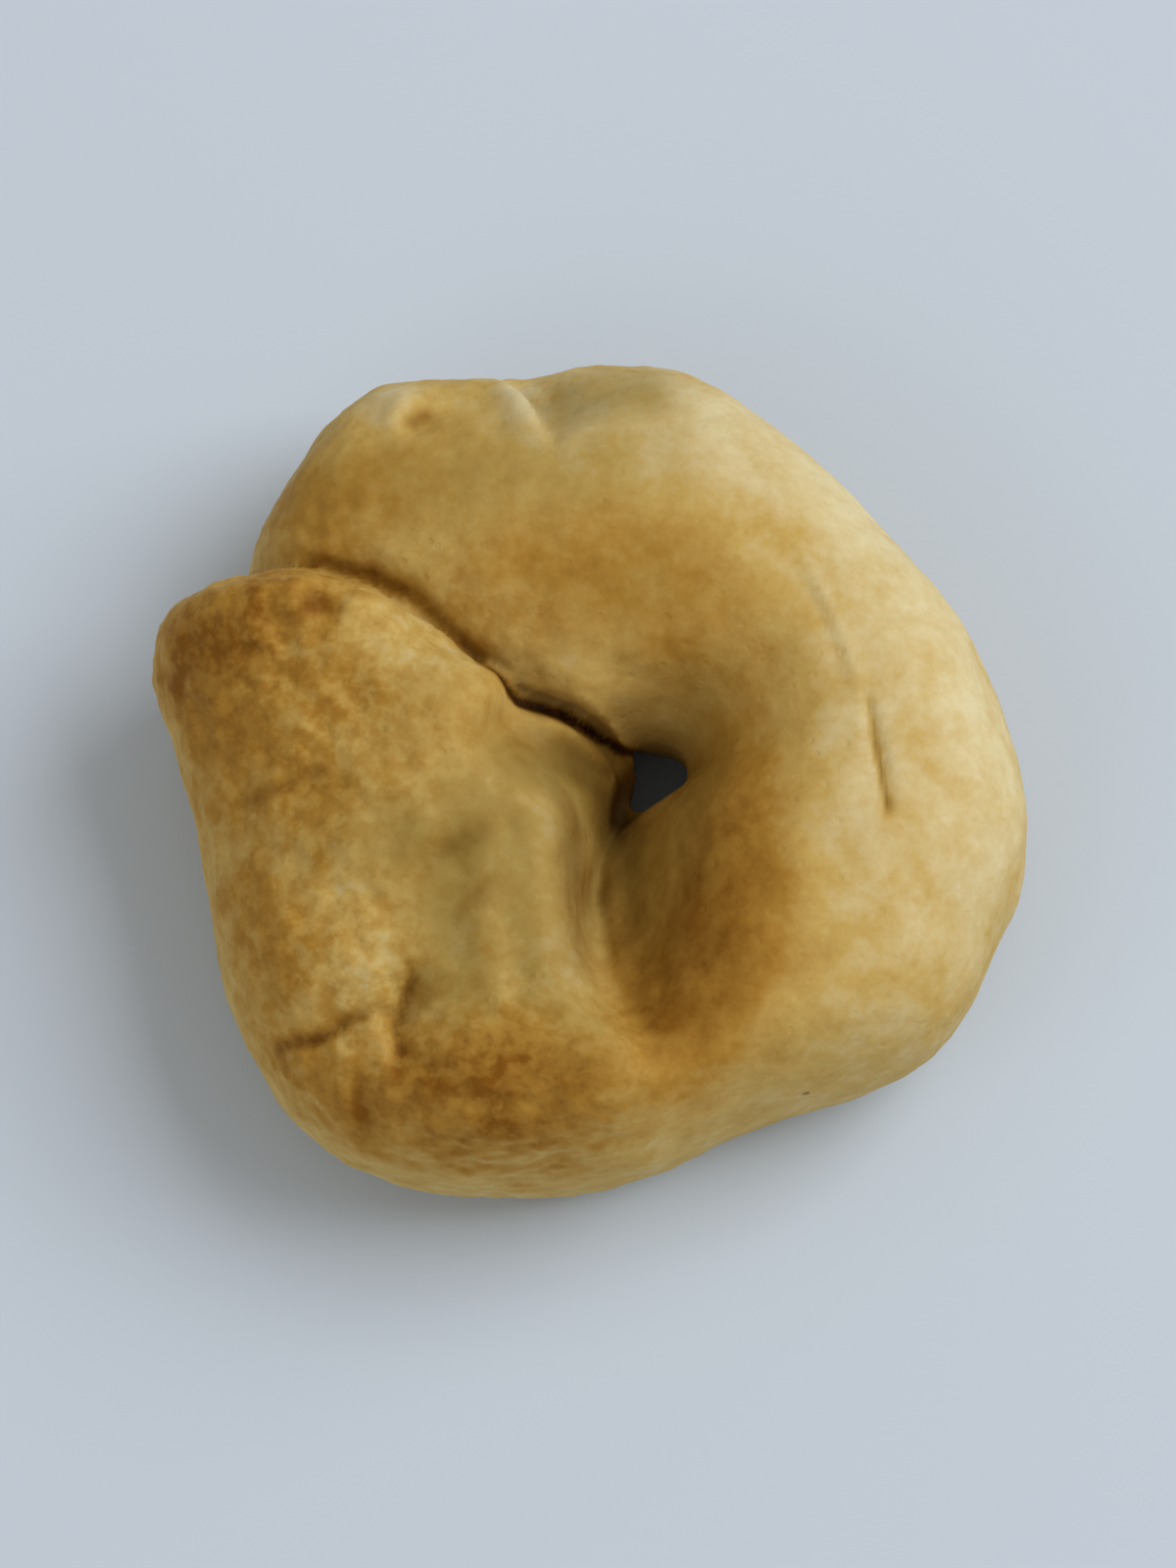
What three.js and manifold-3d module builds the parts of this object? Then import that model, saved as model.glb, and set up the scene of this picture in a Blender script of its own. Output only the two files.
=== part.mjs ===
// A tarallo: a hard ring biscuit made of one rolled rope of dough. The rope starts at its tail, upper left,
// goes clockwise round a small hole, folds back on itself at the bottom, and ends in a broad head whose tip
// is pressed over the tail. Millimetres, +Z up. The flat side that lay on the baking tray is at Z = 0, and
// the origin is on that plane, under the middle of the ring.
import * as THREE from "three";
import { mergeVertices } from "three/addons/utils/BufferGeometryUtils.js";
import Module from "manifold-3d";

const wasm = await Module();
wasm.setup();

// Driving dimensions.
const ACROSS = 50; // the whole biscuit, left to right
const RINGS_TAIL = 70; // rings of vertices along the half of the rope that holds the tail
const RINGS_HEAD = 48; // and along the half that holds the head
const AROUND = 53; // vertices in one ring
const CROWDING = 0.25; // how much closer together they lie in its upper half, where the marks are
const WELD = 1e-4; // vertices closer than this are one

// Each station is one cross-section of the rope, as seen from above: where it meets the outline of the
// biscuit, where it meets the hole or the inner fold, how high its crest is above the tray, how far the
// crest leans towards the outline, as a share of half the width, and how full its inner flank is.
const station = (outer, inner, crest, lean, flank) => ({ outer, inner, crest, lean, flank });
const STATIONS = [
  station([-17.6, 17.6], [-20.4, 8.4], 15.0, 0, 2.3), // the blunt tail
  station([-12.4, 23.3], [-14.6, 7.0], 16.8, 0, 2.3),
  station([-4.4, 24.1], [-7.4, 3.6], 17.8, 0, 2.5),
  station([4.6, 24.2], [-2.0, 2.2], 18.6, 0, 2.5),
  station([12.6, 18.9], [2.8, 2.3], 19.0, 0, 2.2),
  station([20.2, 10.4], [5.3, 1.5], 19.3, 0.08, 1.9),
  station([24.5, 0.6], [5.0, -0.4], 19.5, 0.12, 1.7),
  station([24.4, -7.6], [1.2, -2.2], 19.3, 0.12, 1.6),
  station([19.6, -16.2], [-1.2, -7.4], 18.4, 0.12, 1.6),
  station([9.6, -20.1], [-1.2, -11.6], 17.2, 0.1, 1.8),
  station([-0.8, -23.9], [1.9, -13.5], 16.6, 0, 2.0), // the fold at the bottom
  station([-13.4, -22.6], [1.8, -11.6], 16.8, -0.15, 2.4),
  station([-20.4, -14.0], [0.4, -7.6], 17.8, -0.2, 2.8),
  station([-22.1, -5.4], [1.6, -2.4], 18.8, -0.2, 2.0),
  station([-24.0, 2.4], [2.7, 1.7], 19.6, -0.1, 1.5),
  station([-25.1, 7.8], [-4.6, 4.5], 19.8, 0, 2.3),
  station([-21.7, 11.7], [-9.2, 9.7], 19.4, 0, 2.3), // the broad head, over the tail
];
const FOLD = 10 / 16; // the share of the rope's length at which it folds back

// One cross-section: flat underneath, where the dough lay on the tray, and round above.
const WAIST = 0.46; // height of the widest level, as a share of the crest's
const TOP_POWER = 2.3; // 2 is an ellipse, and more is boxier
const FOOT_POWER = 2.3;
const FOOT_SINK = 1.12; // the lower half would reach this far, and the tray cuts it off at 0
// How the rope's ends close.
const TAIL_CAP = 0.06; // share of the rope's length over which the tail rounds off
const HEAD_CAP = 0.055;
const CAP_POWER = 2.5;

// Marks left in the dough, pressed in where their height is below 0 and raised where it is above. A mark
// runs along a path seen from above, whose points are x, y and the height there. Its width differs to the
// left and to the right of the way the path runs.
const mark = (left, right, ...path) => ({ left, right, path });
const MARKS = [
  // The dell beside the hole, steep on the head's side.
  mark(4.2, 2, [2.4, -1.4, -2.4], [1.3, -3.6, -4.6], [1, -7.5, -4.6], [1.5, -11.5, -3.2],
    [2.6, -15.5, -1.8], [3.8, -18.6, -0.7], [4.2, -20, 0]),
  // The shelf between the head's shoulder and the hole.
  mark(1.6, 2.8, [-4, 0.2, -1.2], [-2.4, -0.2, -2.2], [-0.4, -0.4, -3.2], [1.4, -0.4, -3.8],
    [2.6, 0.4, -3.8]),
  // The lip of the head along the dell.
  mark(1.4, 2.2, [-2.8, -2.6, 0.2], [-2.6, -5.6, 0.9], [-2.3, -8.6, 1.1], [-1.6, -11.5, 0.9],
    [-0.4, -15.4, 0.6], [1.6, -19.6, 0.5]),
  // The notch below the head's shoulder.
  mark(2, 1.2, [-3.9, 2.6, -1.6], [-4.6, 1, -1.4], [-5.6, -0.3, -0.9], [-6.8, -1.5, 0]),
  // The nick beside the tail.
  mark(3.4, 1, [-4.8, 22.6, -0.3], [-3.1, 20.4, -1.2], [-1.9, 18.8, -1], [-0.8, 17.2, 0]),
  // The forked crease of the head: its upright part and its branches to the left and down to the rim.
  mark(1.3, 1.3, [-9.7, -12.2, -0.2], [-9.8, -14.2, -1], [-10, -15.8, -1]),
  mark(1.3, 1.3, [-10.9, -16.6, -0.8], [-13.6, -16.7, -0.9], [-15.3, -17.7, -0.8],
    [-17.2, -17.5, -0.3]),
  mark(1.4, 1.4, [-10, -16.8, -0.6], [-9.6, -18.2, -0.5], [-9.5, -20, 0]),
  // The hollow down the head's middle.
  mark(2.2, 2.2, [-5.8, -5.4, -0.6], [-7.9, -7.8, -0.7], [-8, -12, -0.9], [-7.2, -15.4, -0.5]),
];
const MARKS_FULL = 16; // height at which a mark has its full depth, in proportion to the height elsewhere

// |sin| and |cos| raised to a power, with the sign kept: the outline of a superellipse.
const powered = (value, power) => Math.sign(value) * Math.abs(value) ** (2 / power);

// A smooth curve through one feature of all the stations.
function through(pick) {
  const points = STATIONS.map((s) => new THREE.Vector3(...pick(s)));
  return new THREE.CatmullRomCurve3(points, false, "catmullrom", 0.5);
}
const OUTER = through((s) => [...s.outer, 0]);
const INNER = through((s) => [...s.inner, 0]);
const CREST = through((s) => [s.crest, s.lean, s.flank]);

// A stretch of the rope, from one share of its length to another: a closed cylinder, of radius 1 and length
// 1, whose vertices are carried to the stations. It rounds off towards end, the rope's own end, over the
// share of length cap. Its other end is flat and meets the next stretch.
function stretch(from, to, end, cap, rings) {
  const cylinder = new THREE.CylinderGeometry(1, 1, 1, AROUND, rings);
  const position = cylinder.getAttribute("position");
  const vertex = new THREE.Vector3();
  for (let i = 0; i < position.count; i++) {
    vertex.fromBufferAttribute(position, i);
    const girth = Math.hypot(vertex.x, vertex.z); // 1 on the wall, 0 in the middle of an end
    const evenTurn = Math.atan2(-vertex.z, vertex.x);
    const turn = evenTurn + CROWDING * Math.cos(evenTurn);
    let t = from + (vertex.y + 0.5) * (to - from);
    let close = 1;
    const fromEnd = Math.abs(t - end);
    if (fromEnd < cap) {
      // Rings crowd together towards the rounded end, as on a ball.
      const angle = ((fromEnd / cap) * Math.PI) / 2;
      close = Math.sin(angle) ** (2 / CAP_POWER);
      t = Math.abs(end - cap * (1 - Math.cos(angle) ** (2 / CAP_POWER)));
    }
    const out = OUTER.getPoint(t);
    const within = INNER.getPoint(t);
    const { x: top, y: lean, z: flank } = CREST.getPoint(t);
    const middle = out.clone().add(within).multiplyScalar(0.5);
    const reach = out.clone().sub(within).multiplyScalar(0.5);
    const waist = top * WAIST;
    const up = Math.sin(turn) >= 0;
    const power = up && Math.cos(turn) < 0 ? flank : TOP_POWER;
    const across = powered(Math.cos(turn), power) * girth * close;
    const rise = up ? top - waist : waist * FOOT_SINK;
    const share = powered(Math.sin(turn), up ? power : FOOT_POWER) * girth * close;
    const leaning = up ? lean * share * (close ** 2 - across ** 2) : 0;
    const place = middle.addScaledVector(reach, across + leaning);
    position.setXYZ(i, place.x, place.y, Math.max(0, waist + rise * share));
  }
  return cylinder;
}

// A closed mesh as a solid: only positions are kept, shared vertices are merged and empty triangles are
// dropped.
function solidOf(geometry) {
  const bare = new THREE.BufferGeometry();
  bare.setAttribute("position", geometry.getAttribute("position"));
  bare.setIndex(geometry.index);
  const merged = mergeVertices(bare, WELD);
  const corners = Array.from(merged.index.array);
  const kept = [];
  for (let i = 0; i < corners.length; i += 3) {
    const [a, b, c] = corners.slice(i, i + 3);
    if (a !== b && b !== c && c !== a) kept.push(a, b, c);
  }
  return new wasm.Manifold(
    new wasm.Mesh({
      numProp: 3,
      vertProperties: merged.getAttribute("position").array,
      triVerts: new Uint32Array(kept),
    }),
  );
}

// How high a mark stands at a point seen from above.
function heightOf({ left, right, path }, x, y) {
  let nearest = Infinity;
  let height = 0;
  for (let i = 1; i < path.length; i++) {
    const [startX, startY, startHeight] = path[i - 1];
    const [endX, endY, endHeight] = path[i];
    const along = new THREE.Vector2(endX - startX, endY - startY);
    const offset = new THREE.Vector2(x - startX, y - startY);
    const share = THREE.MathUtils.clamp(offset.dot(along) / along.lengthSq(), 0, 1);
    const sideways = along.cross(offset) / along.length();
    const gap = offset.addScaledVector(along, -share).length();
    if (gap < nearest) {
      nearest = gap;
      const leftness = gap > 0 ? (sideways / gap + 1) / 2 : 0.5; // 1 on the left and 0 on the right
      const width = THREE.MathUtils.lerp(right, left, leftness);
      height = THREE.MathUtils.lerp(startHeight, endHeight, share) * Math.exp(-((gap / width) ** 2));
    }
  }
  return height;
}

// Moves one vertex up or down by all the marks there. The tray side, at height 0, stays flat.
function press(vertex) {
  const [x, y, z] = vertex;
  const height = MARKS.reduce((sum, m) => sum + heightOf(m, x, y), 0);
  vertex[2] = z * (1 + height / MARKS_FULL);
}

// The whole biscuit: both halves joined, marked, and set over the origin at its real width.
function tarallo() {
  const tail = solidOf(stretch(0, FOLD, 0, TAIL_CAP, RINGS_TAIL));
  const head = solidOf(stretch(FOLD, 1, 1, HEAD_CAP, RINGS_HEAD));
  const mesh = tail.add(head).warp(press).getMesh();
  const geometry = new THREE.BufferGeometry();
  geometry.setAttribute("position", new THREE.BufferAttribute(new Float32Array(mesh.vertProperties), 3));
  geometry.setIndex(new THREE.BufferAttribute(new Uint32Array(mesh.triVerts), 1));
  geometry.computeBoundingBox();
  const { min, max } = geometry.boundingBox;
  geometry.translate(-(min.x + max.x) / 2, -(min.y + max.y) / 2, -min.z);
  const scale = ACROSS / (max.x - min.x);
  geometry.scale(scale, scale, scale);
  geometry.computeVertexNormals();
  return geometry;
}

const crust = new THREE.MeshStandardMaterial({ color: 0xc9a765, roughness: 0.7, metalness: 0 });
const biscuit = new THREE.Mesh(tarallo(), crust);
biscuit.name = "tarallo";

const group = new THREE.Group();
group.add(biscuit);
export default group;
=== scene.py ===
# %% [markdown]
# # A tarallo, from a rope of dough to a baked biscuit
#
# A tarallo is a hard ring biscuit from the south of Italy. The baker rolls a thick rope of dough,
# brings it round a finger, folds it back on itself and presses the broad head over the tail. It is
# boiled and then baked on a tray, so it is flat underneath, pale at its rim and browned in patches
# where the dough stood proud.
#
# This lesson makes one such biscuit in the order in which it is really made: the rope is rolled,
# carried round into its ring, fused where it touches itself, marked by hand, and baked. Lengths are
# given in millimetres and turned into Blender's metres with the constant MM.

# %% Load the frame
import math

import bpy
import numpy as np
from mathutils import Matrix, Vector


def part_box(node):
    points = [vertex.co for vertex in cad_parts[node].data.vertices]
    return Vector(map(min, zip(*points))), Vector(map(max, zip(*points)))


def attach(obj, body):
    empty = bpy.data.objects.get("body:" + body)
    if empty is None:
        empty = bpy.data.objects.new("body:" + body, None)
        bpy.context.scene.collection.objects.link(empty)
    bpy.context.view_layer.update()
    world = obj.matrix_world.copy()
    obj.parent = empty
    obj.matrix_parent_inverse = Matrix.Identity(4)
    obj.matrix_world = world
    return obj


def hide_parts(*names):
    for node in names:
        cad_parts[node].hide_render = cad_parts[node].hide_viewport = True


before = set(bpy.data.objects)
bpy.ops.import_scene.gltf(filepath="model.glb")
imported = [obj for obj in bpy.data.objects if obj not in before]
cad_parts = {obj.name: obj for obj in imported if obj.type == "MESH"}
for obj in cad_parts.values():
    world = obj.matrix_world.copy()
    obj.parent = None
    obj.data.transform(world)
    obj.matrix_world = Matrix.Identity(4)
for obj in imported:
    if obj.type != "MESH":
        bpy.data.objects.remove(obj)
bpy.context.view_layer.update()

MM = 0.001
low, high = (np.array(corner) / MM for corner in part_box("tarallo"))
print("the biscuit is", (high - low).round(1), "mm across, deep and high")

# %% [markdown]
# ## The camera
# The biscuit was seen face on, from well above its rim. Here it lies flat on its tray side, so the
# camera looks down on it at the same angle. A long lens from more than half a metre away keeps the
# perspective as weak as it was. The picture is upright, four units high to three wide, and the sensor
# width belongs to the longer side.

# %% Place the camera
ELEVATION = math.radians(72)  # above the horizon, looking along +Y
DISTANCE = 600 * MM
VIEW_HEIGHT = 89.5 * MM  # what the picture's height covers at the biscuit
AIM = Vector((0, -0.8, 9)) * MM  # halfway up, just in front of the ring's middle
SENSOR = 36  # mm, along the picture's longer side

away = Vector((0, -math.cos(ELEVATION), math.sin(ELEVATION)))
camera_data = bpy.data.cameras.new("camera")
camera_data.sensor_width = SENSOR
camera_data.lens = camera_data.sensor_width * DISTANCE / VIEW_HEIGHT
camera = bpy.data.objects.new("camera", camera_data)
camera.location = AIM + away * DISTANCE
camera.rotation_euler = (-away).to_track_quat("-Z", "Y").to_euler()
bpy.context.scene.collection.objects.link(camera)
bpy.context.scene.camera = camera
print("lens", round(camera_data.lens), "mm")

# %% [markdown]
# ## The light
# Daylight from a window on the right models the rope: its right flank is bright and its inner flank is
# in shade. A sun lamp would draw hard shadows, and a lone sky would flatten the rope, so a broad area
# lamp stands for the window, a faint cool one on the left for the room, and the world lifts the
# shadows.

# %% Place the lamps
LAMP_SIZE = 0.8  # a broad lamp draws soft shadows
SKY_COLOUR = (1.0, 0.93, 0.84)
SKY_STRENGTH = 0.41


def lamp(name, place, power, colour):
    """An area lamp at a place in metres, turned towards the biscuit."""
    data = bpy.data.lights.new(name, "AREA")
    data.size = LAMP_SIZE
    data.energy = power
    data.color = colour
    lamp_object = bpy.data.objects.new(name, data)
    lamp_object.location = place
    lamp_object.rotation_euler = (-Vector(place)).to_track_quat("-Z", "Y").to_euler()
    bpy.context.scene.collection.objects.link(lamp_object)


lamp("window", (0.68, 0.25, 0.82), 8.7, (1.0, 0.99, 0.97))
lamp("room", (-0.6, -0.6, 0.6), 1.5, (0.97, 0.98, 1.0))

world = bpy.data.worlds.new("sky")
world.use_nodes = True
background = world.node_tree.nodes["Background"]
background.inputs["Color"].default_value = (*SKY_COLOUR, 1)
background.inputs["Strength"].default_value = SKY_STRENGTH
bpy.context.scene.world = world
bpy.context.scene.view_settings.view_transform = "Standard"
print(len(bpy.data.lights), "lamps and a sky")

# %% [markdown]
# ## Writing shaders as sums
# Every finish here is made of nodes: patterns that vary over the surface, joined by arithmetic. Wiring
# each Math node by hand hides the formula, so a small class wraps a socket and adds the Math nodes when
# Python's own operators are used on it. Every other kind of node comes from one method, which takes the
# node's type, its settings and its sockets.

# %% A socket that can be written in sums
class Wire:
    """A socket's value. Sums with numbers and other wires add Math nodes."""

    def __init__(self, finish, socket):
        self.finish = finish
        self.socket = socket

    def maths(self, operation, *values):
        sockets = dict(enumerate(values))
        return self.finish.add("ShaderNodeMath", {"operation": operation}, sockets)

    def __add__(self, other):
        return self.maths("ADD", self, other)

    def __radd__(self, other):
        return self.maths("ADD", other, self)

    def __sub__(self, other):
        return self.maths("SUBTRACT", self, other)

    def __rsub__(self, other):
        return self.maths("SUBTRACT", other, self)

    def __mul__(self, other):
        return self.maths("MULTIPLY", self, other)

    def __rmul__(self, other):
        return self.maths("MULTIPLY", other, self)

    def __pow__(self, power):
        return self.maths("POWER", self, power)

    def between(self, start, end):
        """0 up to start, 1 from end on, and a smooth rise in between."""
        settings = {"interpolation_type": "SMOOTHSTEP"}
        sockets = {"Value": self, "From Min": start, "From Max": end}
        return self.finish.add("ShaderNodeMapRange", settings, sockets)


print("sockets can be added, subtracted, multiplied and raised to a power")


# %% A material that is built node by node
class Finish:
    """A material, and the one method that adds nodes to it."""

    def __init__(self, name):
        self.material = bpy.data.materials.new(name)
        self.material.use_nodes = True
        self.tree = self.material.node_tree
        self.tree.nodes.clear()

    def add(self, kind, settings, sockets, output=0):
        """A node of that kind: its settings are set first, then its sockets' values or links."""
        node = self.tree.nodes.new(kind)
        for name, value in settings.items():
            if name == "stops":
                self.stops(node.color_ramp, value)
            else:
                setattr(node, name, value)
        for name, value in sockets.items():
            if isinstance(value, Wire):
                self.tree.links.new(value.socket, node.inputs[name])
            else:
                node.inputs[name].default_value = value
        return Wire(self, node.outputs[output]) if node.outputs else None

    def stops(self, ramp, stops):
        """Gives a colour ramp its stops, each a place and a colour."""
        while len(ramp.elements) < len(stops):
            ramp.elements.new(1.0)
        for element, (place, colour) in zip(ramp.elements, stops):
            element.position = place
            element.color = (*colour, 1)

    def attribute(self, name):
        """A number that the mesh carries at each of its vertices."""
        return self.add("ShaderNodeAttribute", {"attribute_name": name}, {}, "Fac")

    def place(self):
        """The point on the piece, in metres."""
        return self.add("ShaderNodeTexCoord", {}, {}, "Object")

    def noise(self, size, detail, roughness):
        """Soft noise from 0 to 1, whose lumps are about as wide as size."""
        sockets = {
            "Vector": self.place(),
            "Scale": 1 / size,
            "Detail": detail,
            "Roughness": roughness,
        }
        return self.add("ShaderNodeTexNoise", {}, sockets, "Fac")

    def spots(self, apart, inner, outer):
        """1 within inner of scattered points and 0 outside outer, as shares of how far they are apart."""
        sockets = {"Vector": self.place(), "Scale": 1 / apart, "Randomness": 1.0}
        distance = self.add("ShaderNodeTexVoronoi", {"feature": "F1"}, sockets, "Distance")
        return 1 - distance.between(inner, outer)

    def blend(self, share, first, second):
        """A colour between two others."""
        sockets = {0: share, 6: first, 7: second}
        return self.add("ShaderNodeMix", {"data_type": "RGBA"}, sockets, 2)

    def surface(self, shader):
        self.add("ShaderNodeOutputMaterial", {}, {"Surface": shader})
        return self.material


print("helpers for shaders are ready")

# %% [markdown]
# ## The floor
# A plain pale table. It isn't part of the biscuit. A large plane has no edge
# in any view, and a rough cool white lets the biscuit's soft shadow show.

# %% Lay the floor
FLOOR_WIDTH = 4  # metres
COOL_WHITE = (0.565, 0.65, 0.765)


def table_finish():
    finish = Finish("pale_table")
    sockets = {"Base Color": (*COOL_WHITE, 1), "Roughness": 0.8, "Specular IOR Level": 0.2}
    return finish.surface(finish.add("ShaderNodeBsdfPrincipled", {}, sockets))


bpy.ops.object.select_all(action="DESELECT")
bpy.ops.mesh.primitive_plane_add(size=FLOOR_WIDTH)
floor = bpy.context.object
floor.name = "floor"
floor.data.materials.append(table_finish())
print("the floor is", floor.dimensions.x, "m wide")

# %% [markdown]
# ## The rope of dough
# The real piece starts as a rope rolled on the table, with blunt ends. A curve with a round bevel would
# give a rope too, but its section stays the same all along. A skin or metaballs would be lumpy and hard
# to aim. A circle that is extruded ring by ring gives clean rings, and each ring can later be carried
# to its place.
#
# The rope is made straight, along +Y. Its rings crowd together at the two ends, where it rounds off.

# %% Roll the rope
AROUND = 72  # vertices in one ring
RINGS = 190  # rings along the rope
CAP_POWER = 2.5  # 2 closes an end like a ball, and more makes it blunter
TAIL_CAP = 0.06  # share of the rope's length over which each end rounds off
HEAD_CAP = 0.055
ROPE_LENGTH = 120.0  # of the straight rope, in mm
ROPE_RADIUS = 10.0
END_SHARE = 0.01  # of the cap: where its last ring lies, so that the end stays open to extrude


def ring_on_the_rope(share):
    """Where a ring lies along the rope, and how far it is closed there, both from 0 to 1."""
    for cap, from_end, direction in ((TAIL_CAP, share, 1), (HEAD_CAP, 1 - share, -1)):
        if from_end < cap:
            angle = max(from_end / cap, END_SHARE) * math.pi / 2
            along = cap * (1 - math.cos(angle) ** (2 / CAP_POWER))
            return (along if direction > 0 else 1 - along), math.sin(angle) ** (2 / CAP_POWER)
    return share, 1.0


rings = [ring_on_the_rope(i / (RINGS - 1)) for i in range(RINGS)]
bpy.ops.object.select_all(action="DESELECT")
bpy.ops.mesh.primitive_circle_add(
    vertices=AROUND,
    radius=ROPE_RADIUS * rings[0][1] * MM,
    fill_type="NGON",
    location=(0, rings[0][0] * ROPE_LENGTH * MM, 0),
    rotation=(math.pi / 2, 0, 0),
)
biscuit = bpy.context.object
biscuit.name = "biscuit"
bpy.ops.object.transform_apply(location=True, rotation=True, scale=True)
bpy.ops.object.mode_set(mode="EDIT")
bpy.ops.mesh.select_all(action="SELECT")
for (before, closed_before), (along, closed) in zip(rings, rings[1:]):
    step = (along - before) * ROPE_LENGTH * MM
    bpy.ops.mesh.extrude_region_move(TRANSFORM_OT_translate={"value": (0, step, 0)})
    if closed != closed_before:
        grow = closed / closed_before
        middle = (0, along * ROPE_LENGTH * MM, 0)
        bpy.ops.transform.resize(value=(grow, 1, grow), center_override=middle)
bpy.ops.mesh.select_all(action="SELECT")
bpy.ops.mesh.normals_make_consistent(inside=False)
bpy.ops.object.mode_set(mode="OBJECT")
print("the rope has", len(biscuit.data.vertices), "vertices")

# %% [markdown]
# ## Round into a ring
# The baker brings the rope round and folds it back. Blender's Curve modifier could bend it, but it
# keeps every section square to the path and would pinch the tight fold. So the rope's sections are
# listed as stations: for each one, where it meets the outline, where it meets the hole or the fold, how
# high its crest is, how far the crest leans outwards and how full the inner flank is. A smooth curve
# runs through each of these, and every vertex is carried to the section that its place along the rope
# gives.
#
# On the tray the soft dough settles: the underside goes flat, and the flanks stand fuller than a
# circle.

# %% List the stations of the rope, from the tail to the head, in mm
STATIONS = np.array([
    # outline x, y | inside x, y | crest | lean | inner flank
    (-18.1, 18.0, -20.8, 8.5, 15.0, 0, 2.3),  # the blunt tail
    (-12.4, 23.3, -14.6, 7.0, 16.8, 0, 2.3),
    (-4.4, 24.1, -7.4, 3.6, 17.8, 0, 2.5),
    (4.6, 24.2, -2.0, 2.2, 18.6, 0, 2.5),
    (12.6, 18.9, 2.8, 2.3, 19.0, 0, 2.2),
    (20.2, 10.4, 5.3, 1.5, 19.3, 0.08, 1.9),
    (24.5, 0.6, 5.0, -0.4, 19.5, 0.12, 1.7),
    (24.4, -7.6, 1.2, -2.2, 19.3, 0.12, 1.6),
    (19.6, -16.2, -1.2, -7.4, 18.4, 0.12, 1.6),
    (9.6, -20.1, -1.2, -11.6, 17.2, 0.1, 1.8),
    (-0.8, -23.9, 1.9, -13.5, 16.6, 0, 2.0),  # the fold at the bottom
    (-13.4, -22.6, 1.8, -11.6, 16.8, -0.15, 2.4),
    (-20.4, -14.0, 0.4, -7.6, 17.8, -0.2, 2.8),
    (-22.1, -5.4, 1.6, -2.4, 18.8, -0.2, 2.0),
    (-24.0, 2.4, 2.7, 1.7, 19.6, -0.1, 1.5),
    (-25.1, 7.8, -4.6, 4.5, 19.8, 0, 2.3),
    (-21.7, 11.7, -9.2, 9.7, 19.4, 0, 2.3),  # the broad head
])
WAIST = 0.46  # height of the widest level, as a share of the crest's
TOP_POWER = 2.3  # 2 is an ellipse, and more is boxier
FOOT_POWER = 2.3
FOOT_SINK = 1.12  # the lower half would reach this far, and the tray cuts it off at 0
print(len(STATIONS), "stations, with crests up to", STATIONS[:, 4].max(), "mm high")


# %% Carry the rope to them
def through_stations(share):
    """The stations' values at shares of the rope's length, on Catmull-Rom curves through all of them."""
    first = 2 * STATIONS[0] - STATIONS[1]
    last = 2 * STATIONS[-1] - STATIONS[-2]
    rows = np.vstack([first, STATIONS, last])
    spot = np.clip(share, 0, 1) * (len(STATIONS) - 1)
    stretch = np.minimum(spot.astype(int), len(STATIONS) - 2)
    u = (spot - stretch)[:, None]
    a, b, c, d = (rows[stretch + i] for i in range(4))
    curve = b + u * (c - a) / 2 + u**2 * (2 * a - 5 * b + 4 * c - d) / 2
    return curve + u**3 * (3 * b - a - 3 * c + d) / 2


def powered(value, power):
    """A sine or cosine raised for a superellipse, with its sign kept."""
    return np.sign(value) * np.abs(value) ** (2 / power)


def points_of(mesh):
    """A mesh's vertices, in mm."""
    flat = np.empty(len(mesh.vertices) * 3)
    mesh.vertices.foreach_get("co", flat)
    return flat.reshape(-1, 3) / MM


def move_points(mesh, points):
    """Sets a mesh's vertices, given in mm."""
    mesh.vertices.foreach_set("co", (points * MM).ravel())
    mesh.update()


def carry_round(points):
    """Carries the straight rope's vertices to the sections at the stations."""
    values = through_stations(points[:, 1] / ROPE_LENGTH)
    outline, inside, crest, lean, flank = values[:, :2], values[:, 2:4], *values[:, 4:].T
    closed = np.hypot(points[:, 0], points[:, 2]) / ROPE_RADIUS
    turn = np.arctan2(points[:, 2], points[:, 0])
    up = turn >= 0
    power = np.where(up & (np.cos(turn) < 0), flank, TOP_POWER)
    across = powered(np.cos(turn), power) * closed
    share = powered(np.sin(turn), np.where(up, power, FOOT_POWER)) * closed
    waist = crest * WAIST
    rise = np.where(up, crest - waist, waist * FOOT_SINK)
    across = across + np.where(up, lean * share * (closed**2 - across**2), 0)
    plan = (outline + inside) / 2 + (outline - inside) / 2 * across[:, None]
    return np.column_stack([plan, np.maximum(0, waist + rise * share)])


move_points(biscuit.data, carry_round(points_of(biscuit.data)))
print("the ring measures", np.ptp(points_of(biscuit.data), axis=0).round(1), "mm")

# %% [markdown]
# ## Fused where it touches itself
# The head lies over the tail and the fold runs into itself, so the mesh now passes through itself. A
# Boolean union would leave a hard line and slivers there. A voxel remesh reads the mesh as one volume,
# as the oven does, and gives an even skin of small squares that can be smoothed and marked anywhere.

# %% Fuse the rope
VOXEL = 0.29 * MM  # small enough for the finest crack that is modelled
FUSING = 20  # rounds of smoothing that melt the fold's seam into the dough


def apply_modifier(piece, kind, **settings):
    """Adds a modifier to a piece, sets it and applies it."""
    bpy.ops.object.select_all(action="DESELECT")
    piece.select_set(True)
    bpy.context.view_layer.objects.active = piece
    modifier = piece.modifiers.new(kind.lower(), kind)
    for name, value in settings.items():
        setattr(modifier, name, value)
    bpy.ops.object.modifier_apply(modifier=modifier.name)


apply_modifier(biscuit, "REMESH", mode="VOXEL", voxel_size=VOXEL)
apply_modifier(biscuit, "SMOOTH", factor=0.5, iterations=FUSING)
print("the fused biscuit has", len(biscuit.data.vertices), "vertices")

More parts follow.
